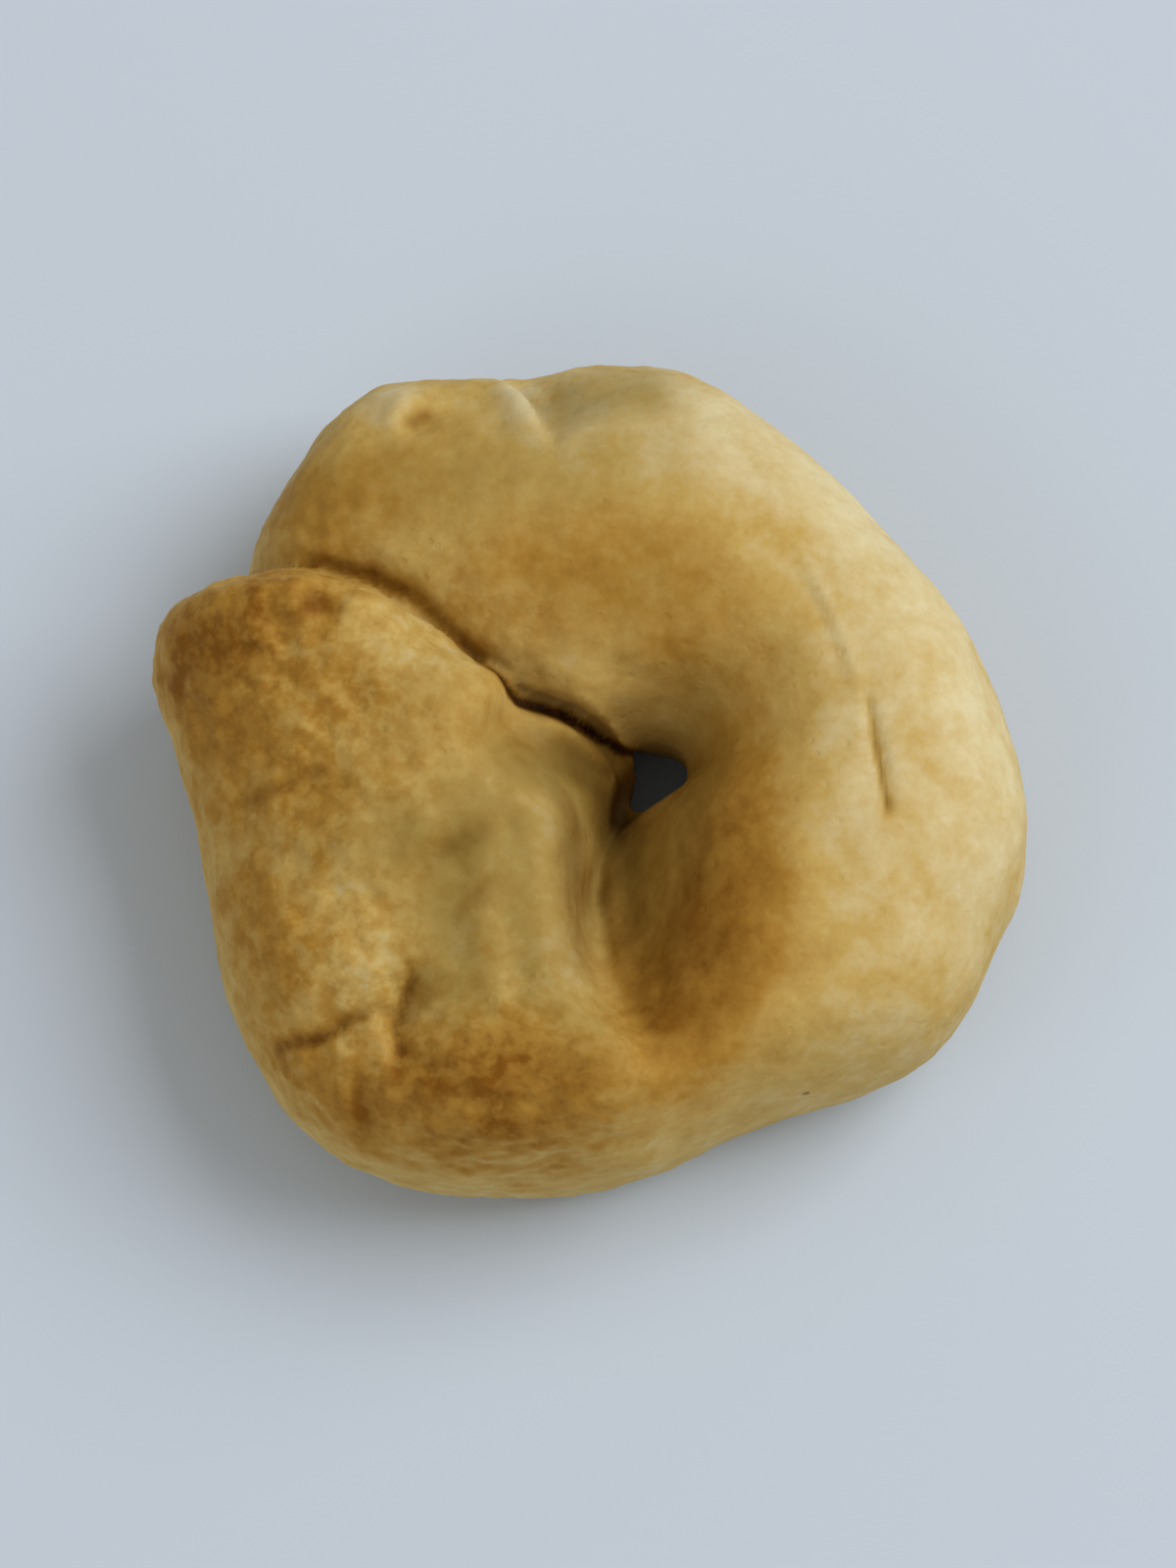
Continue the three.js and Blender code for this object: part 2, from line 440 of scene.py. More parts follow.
# %% [markdown]
# ## Marks made by hand
# Dough remembers every touch: the dell that a thumb left beside the hole, the lip of the head that
# stands up along it, the slit where head and tail meet, the forked crease where the head was bent.
# Sculpting brushes would do this with a mouse. In code each mark is a path seen from above, with its
# height at each of its points, how wide it is to the left and to the right of the way the path runs,
# and a profile: a hill is round, and a furrow has a sharp bottom. The skin is moved straight up or
# down, so the outline stays as it is, and only above the biscuit's widest level. Only the slit is
# slanted: it runs in under the top of the ring.
#
# The deep marks come first. They stretch the squares of the skin, so it is remeshed before the small
# ones.

# %% Tools for marks
MARKS_FADE = (6, 11)  # between these heights, the marks fade out downwards
TINY = 1e-9  # keeps a distance of 0 out of a division


def smooth_step(value, start, end):
    """0 up to start, 1 from end on, and a smooth rise in between."""
    share = np.clip((value - start) / (end - start), 0, 1)
    return share * share * (3 - 2 * share)


def from_path(points, path):
    """Each point's distance from a path, its side (1 is left, -1 is right) and the height there."""
    nearest = np.full(len(points), np.inf)
    side = np.ones(len(points))
    height = np.zeros(len(points))
    for start, end in zip(np.array(path), np.array(path)[1:]):
        along = (end - start)[:2]
        offset = points[:, :2] - start[:2]
        share = np.clip(offset @ along / (along @ along), 0, 1)
        gap = np.hypot(*(offset - share[:, None] * along).T)
        sideways = (along[0] * offset[:, 1] - along[1] * offset[:, 0]) / np.hypot(*along)
        closer = gap < nearest
        nearest[closer] = gap[closer]
        side[closer] = (sideways / np.maximum(gap, TINY))[closer]
        height[closer] = (start[-1] + share * (end[-1] - start[-1]))[closer]
    return nearest, side, height


def hill(distance):
    """A round profile, for distances counted in widths."""
    return np.exp(-(distance**2))


def furrow(distance):
    """A profile with a sharp bottom."""
    return np.exp(-distance)


def mark(piece, marks, slant=0.0):
    """Moves the skin up or down at each mark, and back by slant for each mm down. Marks add up."""
    points = points_of(piece.data)
    lift = np.zeros(len(points))
    for profile, left, right, path in marks:
        distance, side, height = from_path(points, path)
        lift += height * profile(distance / (right + (left - right) * (side + 1) / 2))
    lift = lift * smooth_step(points[:, 2], *MARKS_FADE)
    points += lift[:, None] * np.array([0, -slant, 1])
    move_points(piece.data, points)
    print(len(marks), "marks, from", lift.min().round(1), "to", lift.max().round(1), "mm")


print("marks are full above", MARKS_FADE[1], "mm and end at", MARKS_FADE[0], "mm")

# %% Press the dell and the shelf, and raise the lip and the brow
DEEP_MARKS = [
    # the dell, which is steep on the head's side
    (hill, 4.4, 1.3, [(2.2, -1.4, -2.4), (0.8, -3.6, -3.6), (0.5, -7.5, -3.4), (1.1, -11.5, -2.6),
                      (2.4, -15.5, -1.8), (3.8, -18.6, -0.7), (4.2, -20.0, 0.0)]),
    # its floor, where the fold's two limbs have run together
    (hill, 0.9, 0.9, [(1.2, -3.4, 0.0), (1.1, -5.2, 1.0), (1.0, -7.5, 1.4), (1.1, -10.0, 1.1),
                      (1.5, -12.5, 0.5), (2.0, -14.0, 0.0)]),
    # the shelf between the head's shoulder and the hole
    (hill, 1.6, 2.8, [(-4.0, 0.2, -1.2), (-2.4, -0.2, -2.2), (-0.4, -0.4, -3.2), (1.4, -0.4, -3.8),
                      (2.6, 0.4, -3.8)]),
    # the lip of the head along the dell
    (hill, 1.4, 2.2, [(-3.1, -2.6, 0.2), (-2.9, -5.6, 0.9), (-2.6, -8.6, 1.1), (-1.9, -11.5, 0.9),
                      (-0.6, -15.4, 0.6), (1.6, -19.6, 0.5)]),
    # the notch below the head's shoulder
    (hill, 2.0, 0.8, [(-3.9, 2.6, -2.0), (-4.6, 1.0, -1.7), (-5.6, -0.3, -0.9), (-6.8, -1.5, 0.0)]),
    # the brow of the ring's top, over the shelf
    (hill, 1.4, 0.5, [(-4.2, 4.0, 0.0), (-2.8, 3.6, 0.6), (-1.4, 3.1, 1.0), (0.2, 2.5, 1.0),
                      (1.6, 1.9, 0.6), (2.6, 1.3, 0.0)]),
]
mark(biscuit, DEEP_MARKS)

# %% Cut the slit between head and tail, which runs in under the top of the ring
SLIT_WIDTH = 0.42
SLANT = 0.33  # mm back for each mm down
SETTLING = 5  # rounds of smoothing that take the steps out of the new skin
SLIT = [(-7.2, 5.9, -0.6), (-5.2, 4.0, -2.4), (-4.0, 2.9, -4.0), (-2.6, 2.5, -4.8), (-1.5, 2.2, -5.0),
        (0.6, 1.4, -5.0), (2.0, 0.7, -4.0), (2.8, 0.2, -2.0)]
mark(biscuit, [(hill, SLIT_WIDTH, SLIT_WIDTH, SLIT)], slant=SLANT)
apply_modifier(biscuit, "REMESH", mode="VOXEL", voxel_size=VOXEL)
apply_modifier(biscuit, "SMOOTH", factor=0.5, iterations=SETTLING)

# %% Press the smaller marks
GROOVE = [(-18.4, 11.0, -0.3), (-15.5, 10.6, -0.8), (-12.4, 9.6, -1.1), (-9.6, 7.7, -1.3),
          (-7.2, 5.5, -1.2)]
CREASE = [(-10.4, -12.8, -0.1), (-9.8, -14.3, -1.0), (-10.3, -15.6, -1.2), (-10.8, -16.9, -1.0),
          (-10.5, -18.4, -0.7), (-10.7, -19.8, -0.2)]
LEFT_BRANCH = [(-10.6, -16.1, -0.8), (-12.0, -16.1, -0.6), (-13.2, -16.5, -0.9), (-14.3, -17.0, -1.0),
               (-15.4, -17.4, -0.8), (-17.3, -17.4, -0.4)]
RIM_DENT = [(-12.8, -18.8, -0.3), (-12.8, -20.5, -0.7), (-12.5, -22.3, -0.5)]
PIT = [(-10.0, 18.7, -0.65), (-9.3, 19.1, -0.55)]
CRACK = [(15.2, 2.6, 0.0), (15.8, 1.0, -0.4), (16.6, -2.3, -0.5), (17.0, -5.0, -0.4), (17.0, -6.0, 0.0)]
SMALL_MARKS = [
    (furrow, 0.6, 0.6, GROOVE),
    # the forked crease of the head: upright, to the left and down to the rim
    (furrow, 0.8, 0.9, CREASE),
    (furrow, 0.7, 0.9, LEFT_BRANCH),
    (hill, 1.4, 1.4, [(-10.2, -15.4, -0.5), (-10.4, -18.2, -0.5), (-10.2, -20.5, 0.0)]),
    (hill, 0.8, 0.8, RIM_DENT),
    # the fine crack along the right limb, and the fainter one above it
    (furrow, 0.32, 0.32, CRACK),
    (hill, 0.5, 0.5, [(11.4, 11.7, 0.0), (13.3, 7.8, 0.16), (15.2, 2.5, 0.18), (15.8, 0.6, 0.0)]),
    (hill, 0.5, 0.5, [(10.8, 10.6, 0.0), (12.5, 7.8, -0.1), (14.1, 4.5, -0.12), (14.7, 1.5, 0.0)]),
    # the head: hollows and wrinkles down its middle, and puffs beside them
    (hill, 2.2, 2.2, [(-5.8, -5.4, -0.6), (-7.9, -7.8, -0.7), (-8.0, -12.0, -0.9), (-7.2, -15.4, -0.5)]),
    (furrow, 0.7, 0.7, [(-5.6, -5.8, -0.2), (-8.1, -7.8, -0.5), (-10.2, -9.9, 0.0)]),
    (furrow, 0.7, 0.7, [(-5.2, -8.4, 0.0), (-7.0, -10.4, -0.4), (-8.4, -12.8, 0.0)]),
    (hill, 0.9, 0.9, [(-4.0, -10.5, 0.0), (-4.2, -14.0, -0.4), (-3.6, -17.4, 0.0)]),
    (hill, 3.0, 3.0, [(-17.4, -10.5, 0.4), (-15.6, -13.2, 0.7), (-13.6, -14.6, 0.4)]),
    (hill, 2.2, 2.2, [(-16.8, -5.2, 0.3), (-13.4, -6.4, 0.4)]),
    (hill, 1.6, 1.6, [(-19.4, -3.6, -0.5), (-14.8, -2.6, -0.4), (-11.6, -3.8, 0.0)]),
    (hill, 3.0, 3.0, [(-6.0, -19.8, 0.5), (-2.4, -20.4, 0.5)]),
    (hill, 1.2, 1.2, [(-18.6, 8.0, 0.5), (-17.0, 7.8, 0.7)]),
    (hill, 0.8, 0.8, [(-15.4, 7.0, -0.5), (-14.6, 6.6, -0.5)]),
    (hill, 1.3, 1.3, [(-12.8, 7.0, 0.4), (-11.4, 5.8, 0.4)]),
    (hill, 1.5, 1.5, [(-20.6, 7.2, 0.4), (-19.6, 5.2, 0.3)]),
    (hill, 1.0, 1.0, [(-17.6, 6.2, -0.5), (-16.8, 3.6, -0.4)]),
    # the tail: a pit, a bump beside it, and the lobe that ends in a ledge
    (hill, 0.6, 0.6, PIT),
    (hill, 0.9, 0.9, [(-11.4, 19.4, 0.6), (-10.8, 20.6, 0.6)]),
    (hill, 0.5, 1.2, [(-6.4, 22.4, 0.3), (-5.0, 21.9, 0.7), (-3.9, 20.4, 0.9), (-3.2, 18.8, 0.6),
                      (-2.4, 17.4, 0.0)]),
    (hill, 3.0, 0.3, [(-5.0, 23.2, -0.6), (-4.2, 22.1, -1.3), (-3.3, 20.4, -1.5), (-2.6, 18.6, -1.1),
                      (-1.6, 17.2, 0.0)]),
]
mark(biscuit, SMALL_MARKS)

# %% [markdown]
# ## Uneven dough
# No stretch of hand-rolled dough is smooth. Four sizes of unevenness show: broad swells from the
# rolling, knobs of a few millimetres, smaller crags on the head's rough crust, and a fine skin. A noise
# texture with a Displace modifier makes each of them. One vertex group holds them off the tray side,
# one also spares the right limb, which is smooth, and one keeps the crags to the upper side of the
# head.

# %% Tools for unevenness
LEAST_WEIGHT = 0.01  # a smaller weight moves nothing that shows


def weigh(piece, name, weights):
    """Stores a weight from 0 to 1 for each vertex as a vertex group."""
    group = piece.vertex_groups.new(name=name)
    for index in np.nonzero(weights > LEAST_WEIGHT)[0]:
        group.add([int(index)], float(weights[index]), "REPLACE")


def cloud(name, size, depth):
    """A soft noise texture for the Displace modifier, with lumps as wide as size."""
    texture = bpy.data.textures.new(name, "CLOUDS")
    texture.noise_scale = size
    texture.noise_depth = depth
    return texture


def near(points, path, width):
    """1 on a path seen from above, falling off over a width on both sides."""
    return hill(from_path(points, path)[0] / width)


print("weights below", LEAST_WEIGHT, "are left out")

# %% Raise the unevenness
LIMB_PATH = [(12, 15, 1), (17, 5, 1), (18, -5, 1), (14, -12, 1)]
LIMB_WIDTH = 11
LIMB_SPARED = 0.75  # how much of the knobs the right limb is spared
HEAD_PATH = [(-19, 6, 1), (-13, 4, 1), (-15, -4, 1), (-13, -14, 1), (-6, -19, 1)]
HEAD_WIDTH = 8
OFF_THE_TRAY = (0.3, 3.0)  # heights between which the unevenness sets in
CRAGS_FROM = (6, 13)  # and the crags
UNEVENNESS = [
    # name, how wide its lumps are, how many finer ones they carry, how high they are, and where
    ("swells", 8.0, 1, 0.7, "above_tray"),
    ("knobs", 2.6, 2, 0.45, "knobbly"),
    ("crags", 1.5, 2, 0.6, "crusty"),
    ("skin", 0.8, 2, 0.10, "above_tray"),
]
points = points_of(biscuit.data)
above_tray = smooth_step(points[:, 2], *OFF_THE_TRAY)
weigh(biscuit, "above_tray", above_tray)
weigh(biscuit, "knobbly", above_tray * (1 - LIMB_SPARED * near(points, LIMB_PATH, LIMB_WIDTH)))
head = near(points, HEAD_PATH, HEAD_WIDTH)
weigh(biscuit, "crusty", smooth_step(points[:, 2], *CRAGS_FROM) * head)
for name, size, depth, height, group in UNEVENNESS:
    apply_modifier(
        biscuit,
        "DISPLACE",
        texture=cloud(name, size * MM, depth),
        texture_coords="LOCAL",
        strength=height * MM,
        mid_level=0.5,
        vertex_group=group,
    )
print("swells, knobs, crags and skin are raised")

# %% [markdown]
# ## Back to its true size
# Smoothing draws a shape in by a little, and the lumps push it out. The finished biscuit has to be as
# large as the solid that it stands for, so it is scaled and moved by a fraction of a millimetre to fill
# the same box, and what lay on the tray is set back on the table.

# %% Fit the biscuit to its box
points = points_of(biscuit.data)
least, most = points.min(axis=0), points.max(axis=0)
points = low + (points - least) * (high - low) / (most - least)
move_points(biscuit.data, points)
bpy.ops.object.shade_smooth()
print("scaled by", ((high - low) / (most - least)).round(4))

# %% [markdown]
# ## Where the oven browned it
# Browning follows the shape: it is deep on the head's tip, on the lump at the fold and on the flank
# inside the ring, and the outer rim stays pale. The same strokes carry some painted light: the brown
# on the dell's floor is partly painted shade, and a few pale strokes are painted highlights. Painting
# it in a picture would tie it to one view, so it is laid on as brush strokes listed by their place,
# each with its width and its strength at each point. It is kept as a number on each vertex, and the
# material reads it. Four more numbers say where the crust stayed moist and drab, which in the dell,
# on the shelf and on the flanks is partly painted shade; where painted shade lies in a crevice or in
# the hole; where it lay on the tray; and where it is scabby, as on the head.

# %% List where it is browned, and where pale, with painted shade and highlights among them
BROWNED = [
    # width, path seen from above with the strength at each point
    # the head, from its tip down
    (4.0, [(-23.0, 4.6, 1.2), (-19.5, 5.4, 1.15), (-17.0, 7.4, 0.95), (-13.6, 7.4, 0.7)]),
    (4.6, [(-22.0, 1.5, 0.95), (-19.0, -1.5, 0.8), (-16.0, -4.5, 0.65)]),
    (3.4, [(-18.0, 3.5, 0.7), (-14.5, 1.5, 0.7)]),
    (6.0, [(-13.0, 3.0, 0.45), (-10.0, -4.0, 0.35), (-8.0, -14.0, 0.35), (-8.0, -19.0, 0.35)]),
    # the rim and the lump at the fold, and the rim up to the head
    (2.6, [(-11.0, -22.4, 0.8), (-4.0, -23.4, 1.3), (2.0, -22.6, 0.6)]),
    (3.4, [(-9.5, -20.4, 1.0), (-5.0, -20.0, 1.25), (-0.5, -20.6, 1.0)]),
    (3.4, [(-17.0, -18.6, 0.75), (-13.0, -21.0, 0.9)]),
    (3.4, [(-19.5, -9.0, 0.7), (-17.5, -13.5, 0.7)]),
    # the flank in the ring
    (3.4, [(4.6, -18.8, 0.9), (7.4, -16.4, 0.9), (8.8, -12.6, 1.0), (8.8, -7.6, 1.0)]),
    (3.4, [(8.8, -7.6, 1.0), (8.4, -2.0, 0.8), (8.8, 2.6, 0.5)]),
    # the floor of the dell, browned and partly painted shade
    (3.2, [(4.6, -1.0, 0.45), (4.2, -4.0, 0.7), (4.0, -9.0, 0.75), (4.0, -13.0, 0.95),
           (4.5, -16.2, 1.3)]),
    (2.4, [(6.2, -1.0, 0.75), (6.2, -5.0, 0.9), (5.8, -9.0, 0.9), (6.4, -13.6, 1.0)]),
    # the top of the ring, and the tail
    (4.4, [(-5.0, 9.0, 0.55), (0.0, 9.6, 0.7), (4.0, 9.0, 0.65), (6.4, 5.6, 0.55)]),
    (4.0, [(-15.0, 13.8, 0.8), (-9.0, 14.0, 0.45)]),
    (2.0, [(-8.6, 17.6, 0.3), (-8.0, 16.6, 0.3)]),
]
PALE_AND_HIGHLIGHTS = [
    (5.0, [(7.0, 20.0, 0.45), (14.0, 17.0, 0.65), (20.5, 8.0, 0.55), (23.0, -2.0, 0.5),
           (22.0, -9.0, 0.3), (17.0, -16.0, 0.1)]),
    # a painted highlight along the raised crack
    (0.5, [(11.4, 11.7, 0.1), (13.3, 7.8, 0.35), (15.2, 2.5, 0.4)]),
    (4.0, [(-1.0, 19.0, 0.2), (9.0, 16.2, 0.5)]),
    (4.0, [(14.5, 8.0, 0.2), (16.0, 0.0, 0.3), (15.0, -8.0, 0.3)]),
    (2.4, [(-11.6, 6.8, 0.4), (-9.0, 4.4, 0.15)]),
    # a painted highlight on the rim of the tail's ledge
    (1.2, [(-3.8, 21.0, 0.85), (-3.2, 19.2, 0.85)]),
    # paler on the lip's wall, so that its painted shade stays olive and not orange
    (1.7, [(-2.4, -2.6, 0.4), (-1.2, -5.0, 0.6), (-1.0, -8.0, 0.6), (-0.9, -11.0, 0.6),
           (-0.7, -13.4, 0.5), (0.4, -15.6, 0.2)]),
    (1.4, [(-11.6, 19.4, 0.4), (-11.0, 20.8, 0.5)]),
    (0.7, [(-7.5, -11.2, 0.4), (-7.4, -13.9, 0.4)]),
]
print(len(BROWNED), "brown strokes and", len(PALE_AND_HIGHLIGHTS), "pale ones")


# %% List where it is drab or in painted shade, and where painted shade lies in a crevice
def stroke_along(path, strengths):
    """A stroke along a mark, with its own strength at each of the mark's points."""
    return [(x, y, strength) for (x, y, _), strength in zip(path, strengths)]


DRAB_AND_SHADE = [
    # where the crust stayed moist and greyish, and partly painted shade in the dell, on the shelf, on the
    # flanks, on the lip's wall and in the recess beside the tail's ledge
    (3.0, [(-4.0, -2.2, 0.8), (-1.0, -1.4, 1.0), (2.0, -4.5, 1.0), (2.8, -9.0, 0.7), (3.2, -12.0, 0.4),
           (3.4, -15.0, 0.2)]),
    (2.2, [(6.2, 2.6, 0.5), (6.0, -1.5, 0.7), (5.0, -5.0, 0.7), (4.8, -8.0, 0.5)]),
    (2.8, [(-6.4, -5.0, 0.8), (-8.0, -10.0, 1.0), (-7.0, -14.5, 0.9)]),
    (3.0, [(-13.5, -6.0, 0.4), (-10.5, -7.0, 0.95)]),
    (3.0, [(-8.6, 2.5, 0.3), (-10.0, -2.0, 0.2)]),
    (4.0, [(-14.0, 15.0, 0.4), (-8.0, 15.0, 0.5), (0.0, 16.0, 0.55), (3.0, 16.5, 0.4)]),
    (3.4, [(0.0, 9.0, 0.2), (4.0, 8.4, 0.25)]),
    (2.6, [(-1.0, 19.6, 0.85), (3.0, 20.5, 0.9)]),
    (2.4, [(-3.5, -6.0, 0.7), (-3.5, -9.0, 0.7), (-3.0, -14.0, 0.7), (0.0, -18.0, 0.4)]),
]
CREVICE_SHADE = [
    # painted shade: in the slit, over the dell, the shelf and the ring's inner flank, and along the
    # groove, creases, cracks, pit and dents
    (0.38, [(-6.4, 5.0, 0.4), (-4.9, 3.6, 1.0), (-4.0, 2.6, 1.3), (-2.6, 2.2, 1.3), (-1.5, 1.8, 1.3),
            (-0.3, 1.1, 1.3), (0.8, 0.4, 1.3), (2.0, -0.3, 1.2), (3.2, -0.6, 1.0)]),
    (2.1, [(-3.2, -0.4, 0.35), (-0.8, -0.8, 0.65), (0.9, -1.6, 0.66), (1.0, -3.4, 0.55),
           (1.4, -5.6, 0.47), (1.6, -8.0, 0.4), (2.0, -11.0, 0.3), (2.8, -13.8, 0.1)]),
    (1.4, [(-2.0, -2.6, 0.42), (-0.9, -5.0, 0.62), (-0.7, -8.0, 0.65), (-0.6, -11.0, 0.55),
           (-0.5, -13.4, 0.45), (0.6, -15.6, 0.1)]),
    (1.6, [(-3.4, -1.8, 0.3), (-2.4, -3.0, 0.34)]),
    (2.4, [(6.4, -1.0, 0.2), (6.0, -5.0, 0.26), (5.6, -9.0, 0.26), (5.8, -13.0, 0.22)]),
    (0.5, [(-16.6, 10.8, 0.0), (-15.2, 10.6, 0.5), (-12.4, 9.9, 0.58), (-9.6, 8.3, 0.58),
           (-7.4, 6.2, 0.65), (-6.0, 4.6, 0.65)]),
    (0.4, stroke_along(CREASE, (0.1, 0.55, 0.6, 0.55, 0.45, 0.2))),
    (0.4, stroke_along(LEFT_BRANCH, (0.4, 0.25, 0.42, 0.5, 0.48, 0.4))),
    (0.28, [(15.8, 1.0, 0.2), (16.2, -1.7, 0.65), (16.8, -5.2, 0.65), (16.8, -6.2, 0.1)]),
    (0.5, stroke_along(PIT, (0.42, 0.42))),
    (0.4, [(-4.2, 22.3, 0.0), (-3.2, 20.6, 0.4), (-2.5, 18.8, 0.2)]),
    (0.6, stroke_along(RIM_DENT, (0.15, 0.3, 0.15))),
    (0.8, [(-6.0, -6.0, 0.3), (-7.6, -7.0, 0.4), (-9.2, -8.2, 0.2)]),
    (0.45, [(-5.4, -8.8, 0.1), (-7.0, -10.4, 0.4), (-8.0, -12.0, 0.1)]),
    (0.6, [(-19.4, -3.8, 0.3), (-15.0, -2.8, 0.3), (-12.0, -3.8, 0.0)]),
    (0.7, [(-15.4, 7.0, 0.35), (-14.6, 6.6, 0.35)]),
]
# painted shade on the wall of the hole
HOLE_SHADE = [(1.8, [(1.6, -2.0, 0.9), (1.9, -0.6, 0.9), (3.8, 0.4, 0.9)])]
HOLE_SHADE_HEIGHTS = (1, 4, 7, 11)  # the painted shade on its wall darkens from 1 to 4 mm up, and lightens again from 7 to 11 mm
print(len(DRAB_AND_SHADE), "drab strokes and", len(CREVICE_SHADE) + len(HOLE_SHADE), "dark ones")

# %% Lay the strokes on
FACING_UP = (-0.2, 0.6)  # how far a face looks up where the strokes set in and are at their full strength
FACING_DOWN = (0.5, 0.95)
ON_THE_TRAY = (0.4, 1.6)  # heights between which the tray's mark ends
SLIT_TOP = 13.5  # from this height down, the slit's painted shade follows its slant
SLIT_FRONT = -0.5  # and only behind this line, in y
CREVICE_SHADE_FROM = (4.5, 8)  # heights between which the painted shade in crevices sets in


def normals_of(mesh):
    """The way a mesh faces at each of its vertices."""
    flat = np.empty(len(mesh.vertices) * 3)
    mesh.vertices.foreach_get("normal", flat)
    return flat.reshape(-1, 3)


def painted(points, strokes):
    """The strongest of the strokes at each point."""
    paint = np.zeros(len(points))
    for width, path in strokes:
        distance, _, strength = from_path(points, path)
        paint = np.maximum(paint, strength * hill(distance / width))
    return paint


points = points_of(biscuit.data)
normals = normals_of(biscuit.data)
heights = points[:, 2]
facing_up = smooth_step(normals[:, 2], *FACING_UP)
# brown strokes less pale ones; some pale ones are painted highlights, and the brown on the dell's floor
# is partly painted shade
brown_and_light = (painted(points, BROWNED) - painted(points, PALE_AND_HIGHLIGHTS)) * facing_up
drab = painted(points, DRAB_AND_SHADE) * facing_up
# the slit's painted shade follows its slant, and the hole's wall takes painted shade of its own
sunk = np.maximum(0, SLIT_TOP - heights) * (points[:, 1] > SLIT_FRONT)
unslanted = points - sunk[:, None] * np.array([0, SLANT, 0])
crevice = painted(unslanted, CREVICE_SHADE) * smooth_step(heights, *CREVICE_SHADE_FROM)
foot, low_wall, high_wall, mouth = HOLE_SHADE_HEIGHTS
shade_in_hole = smooth_step(-heights, -mouth, -high_wall) * smooth_step(heights, foot, low_wall)
crevice = np.maximum(crevice, shade_in_hole * painted(points, HOLE_SHADE)).clip(0, 1)
tray = smooth_step(-normals[:, 2], *FACING_DOWN) * (1 - smooth_step(heights, *ON_THE_TRAY))
print("browned from", brown_and_light.min().round(2), "to", brown_and_light.max().round(2))


# %% Keep them on the mesh
def store(mesh, name, values):
    """Keeps one number for each vertex, for the material to read."""
    layer = mesh.attributes.new(name, "FLOAT", "POINT")
    layer.data.foreach_set("value", values.astype(np.float32))


SCABBY_WIDTH = 9
PAINT = {
    "browned": brown_and_light,
    "drab": drab,
    "crevice": crevice,
    "tray_side": tray,
    "scabby": near(points, HEAD_PATH, SCABBY_WIDTH) * facing_up,
}
for name, values in PAINT.items():
    store(biscuit.data, name, values)
print("each vertex carries", ", ".join(PAINT))

# %% [markdown]
# ## The crust
# Baked dough is matte and a little translucent. Its colour runs from cream through gold to brown, and
# never evenly: blotches of one to three millimetres lie over finer flecks. A colour ramp turns the
# browning number, with its painted shade and highlights, stirred by noise, into that scale. Drab
# places, partly painted shade, go towards olive, and the painted shade in crevices and in the hole,
# and a few specks of bran, towards umber. Fine grain and sparse pores go into a bump, since they are
# smaller than the mesh's squares.

# %% Choose the colours and patterns of the crust
CREAM = (0.70, 0.61, 0.355)
GOLD = (0.56, 0.385, 0.112)
AMBER = (0.41, 0.22, 0.033)
TOAST = (0.23, 0.090, 0.004)
# olive is for drab crust and part of the painted shade, and umber for the painted shade in crevices and
# the hole, and for bran
OLIVE = (0.23, 0.165, 0.035)
UMBER = (0.03, 0.009, 0.0015)
BAKING = [(0.0, CREAM), (0.36, GOLD), (0.68, AMBER), (1.0, TOAST)]  # a scale from raw to overbaked
EVENLY_BAKED = 0.34  # where nothing browns the crust, on that scale
# how much each of these counts on it
BY_STROKES, BY_BLOTCHES, BY_FLECKS = 0.5, 0.5, 0.28
BY_TRAY, BY_SCABS, BY_CREVICE_SHADE = 0.25, 0.22, 0.6
DRABNESS_AND_SHADE = 0.7  # how far the drab and painted-shade strokes go towards olive
DARKNESS = 0.95  # how far the painted shade in a crevice goes towards umber
DEEPENING = 1.6  # more leaves the faint painted shade paler
SPECKS = 0.6  # how far the specks of bran go towards umber
MIDDLE = 0.5  # around which noise varies
# width of the lumps, how many finer ones they carry, and how strong those are
BLOTCHES = (2.6 * MM, 3, 0.55)
FLECKS = (0.7 * MM, 3, 0.6)
GRAIN = (0.22 * MM, 2, 0.6)
SCABS = (1.2 * MM, 3, 0.6)
SCAB_EDGES = (0.36, 0.64)  # the noise up to the first is hollow, and beyond the second it is scab
# how far apart, and how wide as a share of that, at full strength and at their edge
BRAN = (7 * MM, 0.02, 0.045)
PORES = (1.4 * MM, 0.08, 0.2)
print(len(BAKING), "colours from raw to overbaked")


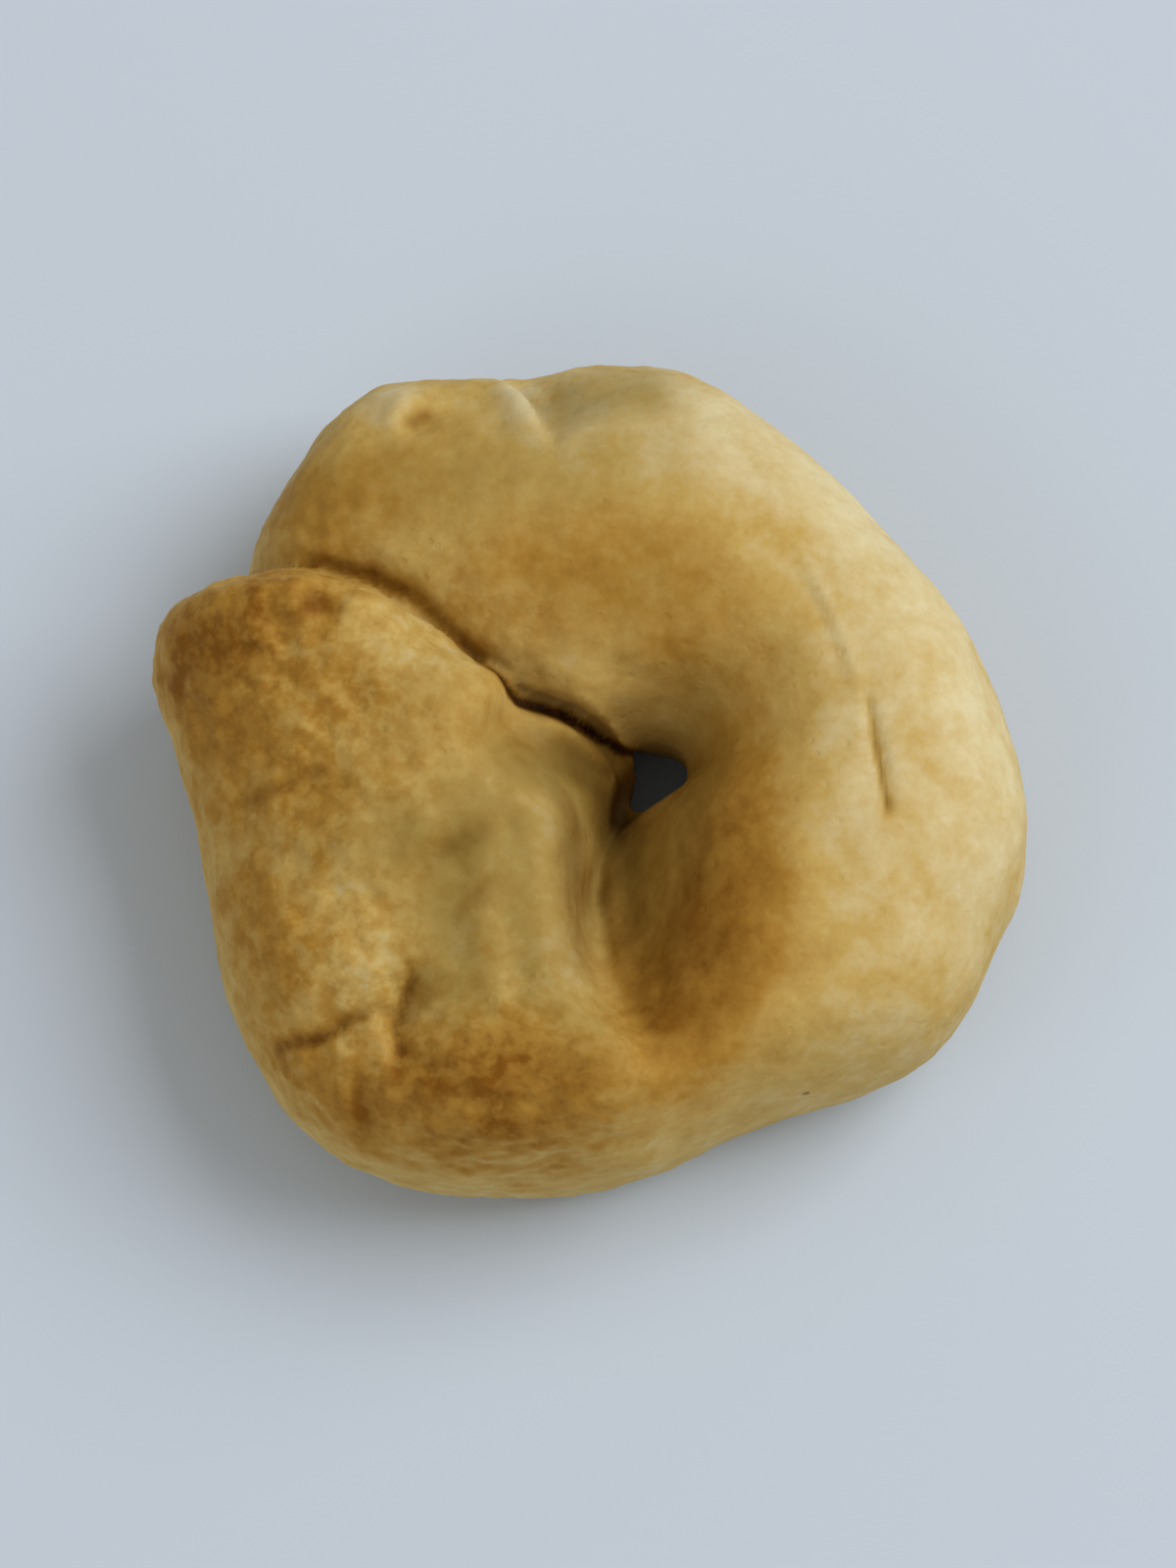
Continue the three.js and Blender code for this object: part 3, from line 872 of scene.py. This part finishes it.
# %% Mix the crust
def crust():
    finish = Finish("crust")
    blotches = finish.noise(*BLOTCHES)
    flecks = finish.noise(*FLECKS)
    grain = finish.noise(*GRAIN)
    scabs = finish.noise(*SCABS).between(*SCAB_EDGES)
    browned = finish.attribute("browned")
    crevice = finish.attribute("crevice")
    tray_side = finish.attribute("tray_side")
    # how far it is baked: what the strokes say, with their painted shade and highlights, stirred by noise
    bake = EVENLY_BAKED + browned * BY_STROKES
    bake = bake + (blotches - MIDDLE) * BY_BLOTCHES + (flecks - MIDDLE) * BY_FLECKS
    bake = bake + tray_side * BY_TRAY
    bake = bake + (scabs - MIDDLE) * finish.attribute("scabby") * BY_SCABS + crevice * BY_CREVICE_SHADE
    colour = finish.add("ShaderNodeValToRGB", {"stops": BAKING}, {"Fac": bake}, "Color")
    # drab crust and its painted shade go towards olive
    colour = finish.blend(finish.attribute("drab") * DRABNESS_AND_SHADE, colour, (*OLIVE, 1))
    # the painted shade of crevices and the hole goes towards umber
    colour = finish.blend(crevice**DEEPENING * DARKNESS, colour, (*UMBER, 1))
    colour = finish.blend(finish.spots(*BRAN) * SPECKS, colour, (*UMBER, 1))
    # flecks and grain stand up a little, and pores are sunk
    relief = flecks * 0.5 + grain * 0.25 - finish.spots(*PORES) * 0.5
    bump_sockets = {"Strength": 0.5, "Distance": 0.12 * MM, "Height": relief}
    bump = finish.add("ShaderNodeBump", {}, bump_sockets)
    sockets = {
        "Base Color": colour,
        "Roughness": 0.56 + flecks * 0.16,
        "Normal": bump,
        "Specular IOR Level": 0.13,  # dry dough hardly shines
        "Subsurface Weight": 0.12,
        "Subsurface Radius": (1.0, 0.5, 0.2),  # red light goes deepest
        "Subsurface Scale": 1.5 * MM,
    }
    return finish.surface(finish.add("ShaderNodeBsdfPrincipled", {}, sockets))


biscuit.data.materials.clear()
biscuit.data.materials.append(crust())
print(len(biscuit.data.polygons), "faces in the crust")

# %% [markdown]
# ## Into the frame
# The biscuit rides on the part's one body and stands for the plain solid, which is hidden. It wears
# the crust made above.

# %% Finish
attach(biscuit, "root")
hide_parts("tarallo")
